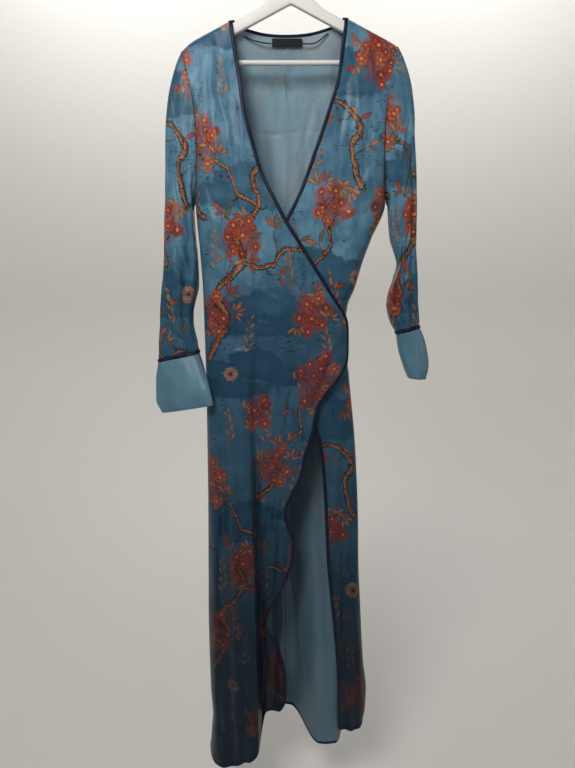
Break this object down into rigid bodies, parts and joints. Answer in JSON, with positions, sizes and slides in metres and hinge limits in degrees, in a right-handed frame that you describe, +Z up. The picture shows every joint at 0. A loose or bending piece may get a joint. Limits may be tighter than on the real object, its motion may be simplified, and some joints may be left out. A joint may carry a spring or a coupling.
{
  "type": "long wrap kimono robe on a clothes hanger",
  "caption": "Long-sleeved printed satin wrap kimono robe with dark piping, open down the front below the waist, hung flat on a plain hanger.",
  "frame": {"origin": "seat of the hanger's hook, the middle of its inner top, where a rail bears", "axes": "+Z up, front of the robe faces -Y, +X to the right of someone who faces its front"},
  "size_m": [0.5181, 0.1858, 1.5],
  "materials": {
    "printed_satin": "satin",
    "plain_satin": "satin",
    "navy_piping": "satin",
    "label_tape": "matte",
    "white_plastic": "satin",
    "hook_steel": "polished"
  },
  "bodies": {
    "root": {"front_over": "printed_satin", "front_under": "printed_satin", "back_right": "printed_satin", "back_left": "printed_satin", "sleeve_right": "printed_satin", "sleeve_left": "printed_satin", "cuff_right": "plain_satin", "cuff_left": "plain_satin", "binding_over": "navy_piping", "binding_under": "navy_piping", "hem_back_right": "navy_piping", "hem_back_left": "navy_piping", "cuff_piping_right": "navy_piping", "cuff_piping_left": "navy_piping", "neck_binding": "navy_piping", "neck_label": "label_tape", "hanging_loop_right": "navy_piping", "hanging_loop_left": "navy_piping", "hanger_body": "white_plastic", "trouser_bar": "white_plastic", "hanger_hook": "hook_steel"}
  },
  "joints": []
}
